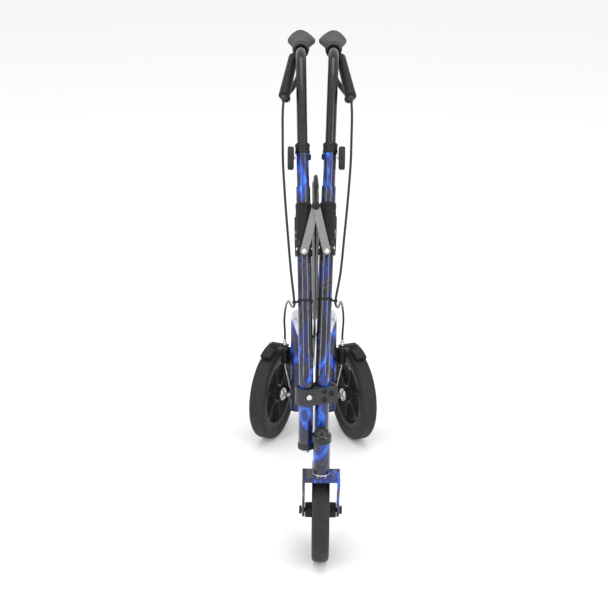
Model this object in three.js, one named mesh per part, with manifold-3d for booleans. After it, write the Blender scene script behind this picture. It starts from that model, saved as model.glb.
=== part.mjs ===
// Folding three-wheeled rollator, folded for storage. Millimetres, +Z up, the user walks towards -Y.
// "left" is the user's left, at +X. Before the last line moves the object to its origin, y = 0 is the
// front axle and x = 0 the middle plane between the two side frames.
import * as THREE from 'three';
import { mergeVertices } from 'three/addons/utils/BufferGeometryUtils.js';
import Module from 'manifold-3d';

const wasm = await Module();
wasm.setup();

// ---------------------------------------------------------------- driving dimensions
const GAP = 0.35;                       // air between pieces that touch
const SIDES = 12;                       // facets round a tube

const WHEEL_RADIUS = 95;
const WHEEL_WIDTH = 32;
const WHEEL_FACETS = 32;
const RIM_RADIUS = 74;
const RIM_HALF_WIDTH = 12;
const AXLE_RADIUS = 4;
const TOE_OUT = THREE.MathUtils.degToRad(22);
const REAR_WHEEL = { x: 81.5, y: 520 };

const TUBE_RADIUS = 12.7;
const TUBE_BORE = 11.8;
const SLEEVE_RADIUS = 11.1;
const SLEEVE_BORE = 10.3;
const HANDLE_RADIUS = 9.525;
const HANDLE_BORE = 8;

const TUBE_STEP = 32;                   // length of one facet along a tube
const TUBE_FOOT_Z = 252;
const TUBE_CORNER_Z = 382.6;
const TUBE_BEND = 70;
const TUBE_TOP_Z = 671;
const HANDLE_CORNER = { x: 29.5, y: 260.8, z: 878.7 };
const HANDLE_BEND = 60;
const HANDLE_STEP = 24;
const HANDLE_END = { x: 31, y: 424, z: 867.3 };
const KNOB_Z = 718;
const COLLAR_LENGTH = 18;
const HANDLE_INSERTED = 185;            // handle tube below the collar

const LEG = { x: 33.7, y: 500, foot: 69, corner: 276 };
const LEG_BEND = 45;
const ARCH_TOP_Z = 440;

const STEM = { x: 13.7, y: -60 };
const FORK_CROWN = { bottom: 190, top: 198 };
const FORK_INNER = 29;
const FORK_OUTER = 34;

const FRAMES = [
  { name: 'left', m: 1, foot: new THREE.Vector2(13, -32) },
  { name: 'right', m: -1, foot: new THREE.Vector2(-15, -43) },
];
const MIDDLE_X = -1;                    // the plane halfway between the two tubes

// ---------------------------------------------------------------- materials
const paint = (color, roughness, metalness) => new THREE.MeshStandardMaterial({ color, roughness, metalness });
const FLAME = paint(0x1f4fb0, 0.25, 0.3);
const BLACK_GLOSS = paint(0x141416, 0.2, 0.1);
const GRIP = paint(0x6e6e70, 0.7, 0);
const PLASTIC = paint(0x2c2c2e, 0.5, 0);
const CASTING = paint(0x5b5b60, 0.5, 0.3);
const SILVER = paint(0xb9babd, 0.3, 0.9);
const RUBBER = paint(0x4f5054, 0.8, 0);
const VINYL = paint(0x2e2d2c, 0.45, 0);

const rollator = new THREE.Group();

function add(name, geometry, material) {
  const mesh = new THREE.Mesh(geometry, material);
  mesh.name = name;
  rollator.add(mesh);
}

// ---------------------------------------------------------------- shape helpers
const vec = (x, y, z) => new THREE.Vector3(x, y, z);

// One closed body from a geometry: shared corners merged, flat triangles dropped, faces outward.
function solid(geometry) {
  const bare = geometry.clone();
  bare.deleteAttribute('normal');
  bare.deleteAttribute('uv');
  const merged = mergeVertices(bare, 1e-3);
  const p = merged.attributes.position.array;
  const kept = [];
  let volume = 0;
  for (let i = 0; i < merged.index.count; i += 3) {
    const [a, b, c] = [0, 1, 2].map((k) => merged.index.getX(i + k));
    if (a === b || b === c || c === a) continue;
    kept.push(a, b, c);
    const [u, v, w] = [a, b, c].map((k) => vec(p[3 * k], p[3 * k + 1], p[3 * k + 2]));
    volume += u.dot(v.cross(w));
  }
  if (volume < 0) kept.reverse();
  const mesh = new wasm.Mesh({ numProp: 3, vertProperties: new Float32Array(p), triVerts: new Uint32Array(kept) });
  return new wasm.Manifold(mesh);
}

function shape(body) {
  const mesh = body.getMesh();
  const geometry = new THREE.BufferGeometry();
  geometry.setAttribute('position', new THREE.BufferAttribute(new Float32Array(mesh.vertProperties), 3));
  geometry.setIndex(new THREE.BufferAttribute(new Uint32Array(mesh.triVerts), 1));
  return geometry;
}

const join = (first, ...rest) => rest.reduce((sum, next) => sum.add(next), first);
const cut = (first, ...rest) => rest.reduce((left, next) => left.subtract(next), first);

// A profile of [radius, height] pairs turned about +Y.
function turned(profile, sides = SIDES, phase = 0) {
  const points = profile.map(([r, y]) => new THREE.Vector2(r, y));
  return new THREE.LatheGeometry(points, sides, phase);
}

// A turned shape's +Y axis laid along a direction, starting at a point.
function aimed(geometry, at, direction) {
  const turn = new THREE.Quaternion().setFromUnitVectors(vec(0, 1, 0), direction.clone().normalize());
  return geometry.clone().applyQuaternion(turn).translate(at.x, at.y, at.z);
}

function rod(from, to, radius, endRadius = radius, sides = SIDES) {
  const run = to.clone().sub(from);
  const profile = [[0, 0], [radius, 0], [endRadius, run.length()], [0, run.length()]];
  return aimed(turned(profile, sides), from, run);
}

function circle(radius) {
  return new THREE.Shape().absarc(0, 0, radius, 0, 2 * Math.PI);
}

// Straight runs between corners, each corner rounded to the bend radius.
function route(corners, bend) {
  const path = new THREE.CurvePath();
  let from = corners[0];
  for (let i = 1; i < corners.length - 1; i += 1) {
    const inward = corners[i].clone().sub(corners[i - 1]).normalize();
    const outward = corners[i + 1].clone().sub(corners[i]).normalize();
    const reach = bend * Math.tan(inward.angleTo(outward) / 2);
    const start = corners[i].clone().addScaledVector(inward, -reach);
    const end = corners[i].clone().addScaledVector(outward, reach);
    path.add(new THREE.LineCurve3(from, start));
    path.add(new THREE.QuadraticBezierCurve3(start, corners[i], end));
    from = end;
  }
  path.add(new THREE.LineCurve3(from, corners[corners.length - 1]));
  return path;
}

function pipe(path, radius, bore, pitch) {
  const section = circle(radius);
  if (bore > 0) section.holes.push(new THREE.Path().absarc(0, 0, bore, 0, 2 * Math.PI, true));
  const steps = Math.max(1, Math.round(path.getLength() / pitch));
  return new THREE.ExtrudeGeometry(section, {
    steps, extrudePath: path, bevelEnabled: false, curveSegments: SIDES / 2,
  });
}

function block(width, depth, height, x, y, z) {
  return new THREE.BoxGeometry(width, depth, height).translate(x, y, z);
}

// ---------------------------------------------------------------- the side frames' lines
function corner(frame) {
  return vec(frame.foot.x, frame.foot.y, TUBE_CORNER_Z);
}

function handleCorner(frame) {
  return vec(MIDDLE_X + frame.m * HANDLE_CORNER.x, HANDLE_CORNER.y, HANDLE_CORNER.z);
}

function slant(frame) {
  return handleCorner(frame).sub(corner(frame)).normalize();
}

function onSlant(frame, z, along = 0) {
  const direction = slant(frame);
  return corner(frame).addScaledVector(direction, (z - TUBE_CORNER_Z) / direction.z + along);
}

function mainTubePath(frame) {
  return route([vec(frame.foot.x, frame.foot.y, TUBE_FOOT_Z), corner(frame), onSlant(frame, TUBE_TOP_Z)], TUBE_BEND);
}

const outward = (frame) => vec(frame.m * Math.cos(TOE_OUT), Math.sin(TOE_OUT), 0);
const forward = (frame) => vec(frame.m * Math.sin(TOE_OUT), -Math.cos(TOE_OUT), 0);
const wheelCentre = (frame) => vec(frame.m * REAR_WHEEL.x, REAR_WHEEL.y, WHEEL_RADIUS);
const legPoint = (frame, z) => vec(frame.m * LEG.x, LEG.y, z);
const COLLAR_ALONG = 6.5;               // from the knob's screw up the tube to the collar's lower face

// ---------------------------------------------------------------- tubes of one side frame
function sideFrame(frame) {
  const name = frame.name;
  const screw = onSlant(frame, KNOB_Z);
  const screwHole = solid(rod(screw, screw.clone().setX(screw.x + frame.m * 20), 3.7));

  add(`${name}_main_tube`, pipe(mainTubePath(frame), TUBE_RADIUS, TUBE_BORE, TUBE_STEP), FLAME);

  const sleevePath = new THREE.LineCurve3(onSlant(frame, TUBE_TOP_Z, -40), onSlant(frame, KNOB_Z, COLLAR_ALONG - GAP));
  const sleeve = solid(pipe(sleevePath, SLEEVE_RADIUS, SLEEVE_BORE, 400));
  add(`${name}_upper_sleeve`, shape(cut(sleeve, screwHole)), FLAME);

  const collar = [[10.3, 0], [13, 0], [13.5, 4], [13.5, 14], [12.6, COLLAR_LENGTH], [10.3, COLLAR_LENGTH], [10.3, 0]];
  add(`${name}_collar`, aimed(turned(collar, 16), onSlant(frame, KNOB_Z, COLLAR_ALONG), slant(frame)), PLASTIC);

  const archCorners = [legPoint(frame, LEG.foot), legPoint(frame, LEG.corner), onSlant(frame, ARCH_TOP_Z)];
  const arch = solid(pipe(route(archCorners, LEG_BEND), TUBE_RADIUS, 11.4, TUBE_STEP));
  const keepClear = solid(pipe(mainTubePath(frame), TUBE_RADIUS + GAP, 0, TUBE_STEP));
  add(`${name}_arch_tube`, shape(cut(arch, keepClear)), FLAME);

  const plug = [[0, -3.3], [12.2, -3.3], [12.7, -0.3], [10.6, -0.3], [10.6, 16], [0, 16]];
  add(`${name}_leg_plug`, aimed(turned(plug), legPoint(frame, LEG.foot), vec(0, 0, 1)), PLASTIC);

  const fabric = new THREE.LineCurve3(onSlant(frame, 578), onSlant(frame, 645));
  add(`${name}_pouch_sleeve`, pipe(fabric, 15.4, 13.6, 400), VINYL);

  const boltAt = screw.clone().setX(screw.x - frame.m * (SLEEVE_RADIUS + GAP));
  const head = [[0, 0], [6, 0], [5.2, 3], [2.6, 4.2], [0, 4.4]];
  add(`${name}_sleeve_bolt`, aimed(turned(head), boltAt, vec(-frame.m, 0, 0)), PLASTIC);
}

// ---------------------------------------------------------------- sliding handle
const gripAxis = (frame) => vec(MIDDLE_X + frame.m * HANDLE_END.x, HANDLE_END.y, HANDLE_END.z)
  .sub(handleCorner(frame)).normalize();
const onGrip = (frame, along) => handleCorner(frame).addScaledVector(gripAxis(frame), along);
const GRIP_START = 39;                  // along the grip axis from the handle tube's corner
const GRIP_LENGTH = 118;
const LEVER_PIVOT = { x: 57, y: 238, z: 804 };
const HOUSING_FRONT = { x: 60, y: 213, z: 816 };

function handlePath(frame) {
  const bottom = onSlant(frame, KNOB_Z, COLLAR_ALONG - HANDLE_INSERTED);
  return route([bottom, handleCorner(frame), onGrip(frame, GRIP_START + GRIP_LENGTH - 8)], HANDLE_BEND);
}

function grip(frame) {
  const stations = [[9.9, 0], [15, 0], [15.6, 4], [13.6, 10], [14.2, 30], [16, 60], [17.5, 84], [17, 104],
    [13, GRIP_LENGTH], [0, GRIP_LENGTH + 2], [0, 112], [9.9, 112], [9.9, 0]];
  const geometry = turned(stations, 20);
  const p = geometry.attributes.position;
  for (let i = 0; i < p.count; i += 1) {
    const radius = Math.hypot(p.getX(i), p.getZ(i));
    if (radius < 11) continue;
    const palm = Math.sin(Math.PI * THREE.MathUtils.clamp((p.getY(i) - 20) / 110, 0, 1)) ** 2;
    const sideways = p.getX(i) / radius;
    const reach = sideways * frame.m > 0 ? 7 : 10.5;
    p.setX(i, p.getX(i) + palm * reach * sideways ** 3);
    p.setZ(i, p.getZ(i) * (1 - 0.22 * palm));
  }
  return aimed(geometry, onGrip(frame, GRIP_START + 20.4), gripAxis(frame));
}

function sliding(frame) {
  const name = frame.name;
  const m = frame.m;
  add(`${name}_handle_tube`, pipe(handlePath(frame), HANDLE_RADIUS, HANDLE_BORE, HANDLE_STEP), BLACK_GLOSS);
  add(`${name}_grip`, grip(frame), GRIP);

  const ring = solid(rod(onGrip(frame, GRIP_START), onGrip(frame, GRIP_START + 20), 14.5, 14.5, 16));
  const rear = vec(MIDDLE_X + m * 43, 314, 862);
  const front = vec(m * HOUSING_FRONT.x, HOUSING_FRONT.y, HOUSING_FRONT.z);
  const arm = solid(rod(rear, front, 9, 10.5, 16));
  const pivot = vec(m * LEVER_PIVOT.x, LEVER_PIVOT.y, LEVER_PIVOT.z);
  const ears = [-1, 1].map((s) => solid(block(2.5, 16, 26, pivot.x + s * 6.2, pivot.y, pivot.z + 9)));
  const pin = solid(rod(pivot.clone().setX(pivot.x - 7), pivot.clone().setX(pivot.x + 7), 2.5));
  const tubeRoom = solid(pipe(handlePath(frame), HANDLE_RADIUS + GAP + 0.3, 0, HANDLE_STEP));
  add(`${name}_brake_housing`, shape(cut(join(ring, arm, ...ears, pin), tubeRoom)), PLASTIC);

  const leverRoute = new THREE.CatmullRomCurve3([
    pivot.clone(), vec(m * 56, 262, 803), vec(m * 46, 300, 806), vec(MIDDLE_X + m * 36, 340, 812),
    vec(MIDDLE_X + m * 32, 392, 815),
  ]);
  const section = new THREE.Shape().absellipse(0, 0, 4.2, 4.2, 0, 2 * Math.PI);
  const bar = new THREE.ExtrudeGeometry(section, {
    steps: 12, extrudePath: leverRoute, bevelEnabled: false, curveSegments: 4,
  });
  const boss = rod(pivot.clone().setX(pivot.x - 4.4), pivot.clone().setX(pivot.x + 4.4), 7);
  const hole = rod(pivot.clone().setX(pivot.x - 12), pivot.clone().setX(pivot.x + 12), 3.1);
  add(`${name}_brake_lever`, shape(cut(join(solid(bar), solid(boss)), solid(hole))), PLASTIC);

  add(`${name}_height_knob`, knob(frame), PLASTIC);
}

function knob(frame) {
  const lobes = 3;
  const corners = [];
  for (let i = 0; i < 36; i += 1) {
    const angle = (i / 36) * 2 * Math.PI;
    const reach = 19.5 + 4 * Math.cos(lobes * angle);
    corners.push(new THREE.Vector2(reach * Math.cos(angle), reach * Math.sin(angle)));
  }
  const head = new THREE.ExtrudeGeometry(new THREE.Shape(corners), { depth: 11.5, bevelEnabled: false });
  head.rotateX(-Math.PI / 2).translate(0, 15.5, 0);
  const screw = rod(vec(0, HANDLE_RADIUS + 0.5, 0), vec(0, 16, 0), 3);
  const body = join(solid(head), solid(screw));
  return aimed(shape(body), onSlant(frame, KNOB_Z), vec(frame.m, 0, 0));
}

// ---------------------------------------------------------------- wheels
function tyre() {
  const outer = WHEEL_RADIUS / Math.cos(Math.PI / WHEEL_FACETS);
  const half = WHEEL_WIDTH / 2;
  const profile = [[RIM_RADIUS + 0.8, -half + 4], [outer - 12, -half], [outer - 4, -half + 2], [outer, -half + 8],
    [outer, half - 8], [outer - 4, half - 2], [outer - 12, half], [RIM_RADIUS + 0.8, half - 4],
    [RIM_RADIUS + 0.8, -half + 4]];
  return turned(profile, WHEEL_FACETS, Math.PI / WHEEL_FACETS);
}

// Six-spoke disc about +Y with a hub that stands out by the two lengths given.
function rim(hubRadius, hubBack, hubFront) {
  const disc = new THREE.Shape().absarc(0, 0, RIM_RADIUS, 0, 2 * Math.PI);
  const spokes = 6;
  for (let i = 0; i < spokes; i += 1) {
    const mid = (i / spokes) * 2 * Math.PI;
    const window = new THREE.Path();
    window.absarc(0, 0, 61, mid - 0.42, mid + 0.42, false);
    window.absarc(0, 0, 26, mid + 0.24, mid - 0.24, true);
    window.closePath();
    disc.holes.push(window);
  }
  const plate = new THREE.ExtrudeGeometry(disc, { depth: 2 * RIM_HALF_WIDTH, bevelEnabled: false, curveSegments: 3 });
  const ringed = new THREE.ExtrudeGeometry(circle(RIM_RADIUS), {
    depth: 2 * RIM_HALF_WIDTH, bevelEnabled: false, curveSegments: 16,
  });
  const face = solid(plate.translate(0, 0, -RIM_HALF_WIDTH).rotateX(-Math.PI / 2));
  const rounded = solid(ringed.translate(0, 0, -RIM_HALF_WIDTH).rotateX(-Math.PI / 2));
  const windows = cut(rounded, face);
  const hub = solid(rod(vec(0, -hubBack, 0), vec(0, hubFront, 0), hubRadius, hubRadius, 20));
  const inner = solid(rod(vec(0, -60, 0), vec(0, 60, 0), 61, 61, 24));
  const openings = windows.intersect(inner);
  const bore = solid(rod(vec(0, -60, 0), vec(0, 60, 0), AXLE_RADIUS + 1.2, AXLE_RADIUS + 1.2));
  return shape(cut(join(cut(rounded, openings), hub), bore));
}

function frontWheel() {
  const centre = vec(STEM.x, 0, WHEEL_RADIUS);
  const sideways = vec(1, 0, 0);
  add('front_tyre', aimed(tyre(), centre, sideways), RUBBER);
  add('front_rim', aimed(rim(14.5, FORK_INNER - 0.6, FORK_INNER - 0.6), centre, sideways), PLASTIC);
  const end = FORK_OUTER + 5;
  const profile = [[0, -end], [7.5, -end], [8, -FORK_OUTER - GAP], [AXLE_RADIUS, -FORK_OUTER - GAP],
    [AXLE_RADIUS, FORK_OUTER + GAP], [8, FORK_OUTER + GAP], [7.5, end], [0, end]];
  add('front_axle', aimed(turned(profile), centre, sideways), SILVER);
}

function rearWheel(frame) {
  const name = frame.name;
  const centre = wheelCentre(frame);
  const axis = outward(frame);
  const fromLeg = centre.distanceTo(legPoint(frame, WHEEL_RADIUS));
  add(`${name}_rear_tyre`, aimed(tyre(), centre, axis), RUBBER);
  add(`${name}_rear_rim`, aimed(rim(14, 20, RIM_HALF_WIDTH + 1), centre, axis), PLASTIC);
  const axleStart = centre.clone().addScaledVector(axis, -fromLeg + TUBE_RADIUS + GAP);
  add(`${name}_rear_axle`, rod(axleStart, centre.clone().addScaledVector(axis, RIM_HALF_WIDTH), AXLE_RADIUS), SILVER);
  const cap = [[5.2, -25], [10, -25], [13.2, -22.5], [13.2, -20.4], [5.2, -20.4], [5.2, -25]];
  add(`${name}_hub_cap`, aimed(turned(cap, 16), centre, axis), SILVER);
}

// ---------------------------------------------------------------- rear brake of one side
const SPRING_FROM_LEG = 26.5;
const SPRING = { bottom: 165, top: 198, radius: 7.4 };
const SHOE = { inner: 98.4, outer: 105.4, width: 23, from: 86, to: 114, armBottom: 201.8, armTop: 206 };

function brake(frame) {
  const name = frame.name;
  const spot = (along, ahead, z) => legPoint(frame, z)
    .addScaledVector(outward(frame), along).addScaledVector(forward(frame), ahead);
  const square = (geometry, along, ahead, z) => {
    const turn = frame.m > 0 ? TOE_OUT : -TOE_OUT;
    const at = spot(along, ahead, z);
    return solid(geometry.clone().rotateZ(turn).translate(at.x, at.y, at.z));
  };

  const spring = [[0, 0], [5.5, 0], [SPRING.radius, 3], [SPRING.radius, 30], [5.5, 33], [0, 33]];
  add(`${name}_spring_housing`, aimed(turned(spring), spot(SPRING_FROM_LEG, 0, SPRING.bottom), vec(0, 0, 1)), PLASTIC);

  const outline = [[11, 140], [15, 140], [34, 182], [34, 198], [11, 198]];
  const gusset = new THREE.Shape(outline.map(([along, z]) => new THREE.Vector2(along * frame.m, z)));
  const flat = new THREE.ExtrudeGeometry(gusset, { depth: 3, bevelEnabled: false }).rotateX(Math.PI / 2);
  const boss = solid(rod(spot(SPRING_FROM_LEG, -14.5, 188), spot(SPRING_FROM_LEG, -SPRING.radius - GAP, 188), 4.5));
  add(`${name}_brake_bracket`, shape(join(square(flat, 0, -10.9, 0), boss)), CASTING);

  const arc = new THREE.Shape();
  const [from, to] = [SHOE.from, SHOE.to].map(THREE.MathUtils.degToRad);
  arc.absarc(0, 0, SHOE.outer, from, to, false);
  arc.absarc(0, 0, SHOE.inner, to, from, true);
  const pad = new THREE.ExtrudeGeometry(arc, { depth: SHOE.width, bevelEnabled: false, curveSegments: 8 });
  pad.translate(0, 0, -SHOE.width / 2);
  const ahead = forward(frame);
  const basis = new THREE.Matrix4().makeBasis(ahead.clone().negate(), vec(0, 0, 1), ahead.clone().negate().cross(vec(0, 0, 1)));
  const centre = wheelCentre(frame);
  pad.applyMatrix4(basis).translate(centre.x, centre.y, centre.z);
  const armHeight = SHOE.armTop - SHOE.armBottom;
  const arm = square(new THREE.BoxGeometry(38, 11, armHeight), 38, 0, SHOE.armBottom + armHeight / 2);
  const post = square(new THREE.BoxGeometry(12, 11, 8), 51, 0, SHOE.armBottom - 1);
  add(`${name}_brake_shoe`, shape(join(solid(pad), arm, post)), PLASTIC);

  const adjuster = [[0, 0], [4.5, 0], [4.5, 5], [3.2, 5.5], [3.2, 13], [0, 13]];
  add(`${name}_brake_adjuster`, aimed(turned(adjuster), spot(SPRING_FROM_LEG, 0, SHOE.armTop + GAP), vec(0, 0, 1)), SILVER);

  const cableEnd = spot(SPRING_FROM_LEG, 0, SHOE.armTop + 13 + 2 * GAP);
  const m = frame.m;
  const clip = onSlant(frame, 495).add(vec(m * 19, -6, 0));
  const cable = new THREE.CatmullRomCurve3([
    vec(m * (HOUSING_FRONT.x + 0.6), 205.5, 811.6), vec(m * 62, 190, 790), vec(m * 61.5, 172, 750),
    vec(m * 60.5, 150, 712), vec(m * 56, 118, 655), vec(m * 50, 84, 595), vec(m * 44, 53, 540), clip,
    vec(m * 41, 80, 462), vec(m * 46, 200, 420), vec(m * 50.5, 350, 365), vec(m * 56, 450, 315),
    vec(m * 59.5, 497, 268), cableEnd.clone().add(vec(0, 0, 12)), cableEnd,
  ], false, 'centripetal');
  const strand = new THREE.ExtrudeGeometry(circle(2.3), {
    steps: 42, extrudePath: cable, bevelEnabled: false, curveSegments: 3,
  });
  add(`${name}_brake_cable`, strand, PLASTIC);
}

// ---------------------------------------------------------------- fork and head
function head() {
  const stemAt = (z) => vec(STEM.x, STEM.y, z);
  const up = vec(0, 0, 1);
  const tube = [[9.3, 0], [15, 0], [15, 73], [9.3, 73], [9.3, 0]];
  add('head_tube', aimed(turned(tube, 20), stemAt(199), up), FLAME);
  add('fork_stem', rod(stemAt(FORK_CROWN.top + GAP), stemAt(270), 8.4, 8.4, 16), SILVER);
  const cap = [[15.6, 0], [17.6, 0], [17.8, 11], [16.8, 14.5], [13.6, 16], [12.4, 22], [8, 27], [0, 29],
    [0, 10.4], [15.6, 10.4], [15.6, 0]];
  const leftFoot = FRAMES[0].foot;
  const room = rod(vec(leftFoot.x, leftFoot.y, 230), vec(leftFoot.x, leftFoot.y, 300), TUBE_RADIUS + GAP);
  add('head_cap', shape(cut(solid(aimed(turned(cap, 20), stemAt(262), up)), solid(room))), PLASTIC);
  add('fork', fork(), FLAME);
}

function fork() {
  const side = new THREE.Shape();
  side.moveTo(-82, FORK_CROWN.top);
  side.lineTo(-38, FORK_CROWN.top);
  side.quadraticCurveTo(-8, 165, 13, 99);
  side.quadraticCurveTo(12, 82, 0, 82);
  side.quadraticCurveTo(-12, 82, -14, 98);
  side.quadraticCurveTo(-30, 140, -76, 172);
  side.quadraticCurveTo(-83, 180, -82, FORK_CROWN.top);
  const thickness = FORK_OUTER - FORK_INNER;
  const basis = new THREE.Matrix4().makeBasis(vec(0, 1, 0), vec(0, 0, 1), vec(1, 0, 0));
  const legs = [-FORK_OUTER, FORK_INNER].map((x) => {
    const leg = new THREE.ExtrudeGeometry(side, { depth: thickness, bevelEnabled: false, curveSegments: 5 });
    return solid(leg.applyMatrix4(basis).translate(STEM.x + x, 0, 0));
  });
  const height = FORK_CROWN.top - FORK_CROWN.bottom;
  const crown = solid(block(2 * FORK_OUTER, 44, height, STEM.x, STEM.y, FORK_CROWN.bottom + height / 2));
  const hole = solid(rod(vec(STEM.x - 50, 0, WHEEL_RADIUS), vec(STEM.x + 50, 0, WHEEL_RADIUS), AXLE_RADIUS + 0.6));
  return shape(cut(join(crown, ...legs), hole));
}

// ---------------------------------------------------------------- hinge between the side frames
const PLATE = { bottom: 330, top: 361 };
const BRACKET_BOTTOM = TUBE_FOOT_Z - 11;

function hinge() {
  const [left, right] = FRAMES.map((frame) => vec(frame.foot.x, frame.foot.y, 0));
  const along = left.clone().sub(right).normalize();
  const yaw = Math.atan2(along.y, along.x);
  const ahead = vec(along.y, -along.x, 0);
  const height = PLATE.top - PLATE.bottom;
  const middle = (PLATE.bottom + PLATE.top) / 2;
  const upright = (at, radius, bottom, top, sides = 20) =>
    solid(rod(vec(at.x, at.y, bottom), vec(at.x, at.y, top), radius, radius, sides));
  const slab = (width, depth, tall, u, v, z) => {
    const at = right.clone().addScaledVector(along, u).addScaledVector(ahead, v);
    return solid(new THREE.BoxGeometry(width, depth, tall).rotateZ(yaw).translate(at.x, at.y, z));
  };
  const barrel = upright(right, 19.5, PLATE.bottom, PLATE.top);
  const grip = upright(left, 16.5, PLATE.bottom, PLATE.top);
  const face = slab(58, 6, height, 24, 16.5, middle);
  const wrap = slab(6, 26, height, 50, 6, middle);
  const bores = [right, left].map((at) => upright(at, TUBE_RADIUS + 1, PLATE.bottom - 1, PLATE.top + 1, 24));
  add('hinge_plate', shape(cut(join(barrel, grip, face, wrap), ...bores)), CASTING);

  const feet = [right, left].map((at) => upright(at, 14, BRACKET_BOTTOM, TUBE_FOOT_Z - GAP));
  const bridge = slab(30, 24, TUBE_FOOT_Z - GAP - BRACKET_BOTTOM, 15, 0, (BRACKET_BOTTOM + TUBE_FOOT_Z - GAP) / 2);
  const headRoom = upright(vec(STEM.x, STEM.y, 0), 15.5, 200, 300);
  const boltRoom = upright(right, 5.6, 200, 300);
  add('lower_hinge_bracket', shape(cut(join(...feet, bridge), headRoom, boltRoom)), CASTING);

  const bolt = [[0, -7], [7, -6.5], [9, -4], [9, -0.4], [5, -0.4], [5, 26], [0, 26]];
  add('hinge_bolt', aimed(turned(bolt), right.clone().setZ(BRACKET_BOTTOM), vec(0, 0, 1)), SILVER);
}

// ---------------------------------------------------------------- folding brace
const BRACE = { z: 568, reach: 81.3, sideways: 20, offset: 21.5, width: 14, thick: 2.4, gap: 1.6 };
const PIVOT_PIN = 3;
const PIVOT_PLAY = 1.8;                 // the two link ends miss each other by this much on the way

// The brace lies in the plane of the two slanted tubes, a little in front of them.
const BRACE_UP = vec(0, HANDLE_CORNER.y + 37.5, HANDLE_CORNER.z - TUBE_CORNER_Z).normalize();
const BRACE_FRONT = vec(0, -BRACE_UP.z, BRACE_UP.y);
const BRACE_FEET = { y: 72.9, z: BRACE.z };
const BRACE_PIVOT = vec(MIDDLE_X, BRACE_FEET.y, BRACE_FEET.z)
  .addScaledVector(BRACE_UP, BRACE.reach).addScaledVector(BRACE_FRONT, BRACE.offset);

function flatLink(from, to, level, pivotHole) {
  const run = to.clone().sub(from);
  const length = run.length();
  const bar = new THREE.Shape();
  const half = BRACE.width / 2;
  bar.absarc(0, 0, half, Math.PI, 2 * Math.PI, false);
  bar.absarc(0, length, half, 0, Math.PI, false);
  bar.closePath();
  bar.holes.push(new THREE.Path().absarc(0, 0, PIVOT_PIN + 0.6, 0, 2 * Math.PI, true));
  bar.holes.push(new THREE.Path().absarc(0, length, pivotHole, 0, 2 * Math.PI, true));
  const geometry = new THREE.ExtrudeGeometry(bar, { depth: BRACE.thick, bevelEnabled: false, curveSegments: 5 });
  geometry.translate(0, 0, level);
  const up = run.normalize();
  const basis = new THREE.Matrix4().makeBasis(up.clone().cross(BRACE_FRONT), up, BRACE_FRONT);
  return geometry.applyMatrix4(basis).translate(from.x, from.y, from.z);
}

function brace() {
  for (const frame of FRAMES) {
    const foot = vec(MIDDLE_X + frame.m * BRACE.sideways, BRACE_FEET.y, BRACE_FEET.z)
      .addScaledVector(BRACE_FRONT, BRACE.offset);
    const isFront = frame.m > 0;
    const level = isFront ? BRACE.gap / 2 : -BRACE.thick - BRACE.gap / 2;
    const pivotHole = isFront ? PIVOT_PIN + GAP : PIVOT_PIN + GAP + PIVOT_PLAY + 0.3;
    const name = frame.name;
    add(`${name}_brace_link`, flatLink(foot, BRACE_PIVOT, level, pivotHole), SILVER);

    const along = slant(frame);
    const centre = onSlant(frame, BRACE.z - 4);
    const band = solid(rod(centre, centre.clone().addScaledVector(along, 11), 14.9, 14.9, 20));
    const studEnd = foot.clone().addScaledVector(BRACE_FRONT, level + BRACE.thick + 1.6);
    const stud = solid(rod(foot.clone().addScaledVector(BRACE_FRONT, -12), studEnd, PIVOT_PIN));
    const start = centre.clone().addScaledVector(along, -10);
    const tubeRoom = solid(rod(start, centre.clone().addScaledVector(along, 30), TUBE_RADIUS + 0.6, TUBE_RADIUS + 0.6, 24));
    add(`${name}_brace_clamp`, shape(cut(join(band, stud), tubeRoom)), PLASTIC);
  }
  const front = BRACE.gap / 2 + BRACE.thick + GAP;
  const back = -front - PIVOT_PLAY;
  const profile = [[0, back - 2], [6.5, back - 2], [7, back], [PIVOT_PIN, back], [PIVOT_PIN, front],
    [6.5, front], [6, front + 2.5], [0, front + 3.5]];
  add('brace_pivot', aimed(turned(profile), BRACE_PIVOT, BRACE_FRONT), PLASTIC);
}

// ---------------------------------------------------------------- folded pouch
function pouch() {
  const behind = (z, back) => [onSlant(FRAMES[0], z).y + back, z];
  const bag = [behind(676, 18), behind(470, 20), [150, 430], [205, 480], [252, 640], [232, 672]];
  const fold = [behind(480, 20), behind(425, 20), [82, 375], [150, 372], [180, 450]];
  const basis = new THREE.Matrix4().makeBasis(vec(0, 1, 0), vec(0, 0, 1), vec(1, 0, 0));
  const panel = (outline, thickness) => {
    const side = new THREE.Shape(outline.map(([y, z]) => new THREE.Vector2(y, z)));
    const geometry = new THREE.ExtrudeGeometry(side, { depth: thickness, bevelEnabled: false });
    return solid(geometry.applyMatrix4(basis).translate(MIDDLE_X - thickness / 2, 0, 0));
  };
  add('pouch', shape(join(panel(bag, 15), panel(fold, 6))), VINYL);
}

// ---------------------------------------------------------------- assembly
for (const frame of FRAMES) {
  sideFrame(frame);
  sliding(frame);
  rearWheel(frame);
  brake(frame);
}
frontWheel();
head();
hinge();
brace();
pouch();

// The origin is the middle of the footprint, on the floor.
const bounds = new THREE.Box3().setFromObject(rollator);
const middle = bounds.getCenter(new THREE.Vector3());
rollator.position.set(-middle.x, -middle.y, 0);

export default rollator;
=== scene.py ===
"""Looks of a folded three-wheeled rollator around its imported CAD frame. Sizes are millimetres until pt()."""
import math

import bmesh
import bpy
from mathutils import Matrix, Vector, noise


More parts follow.
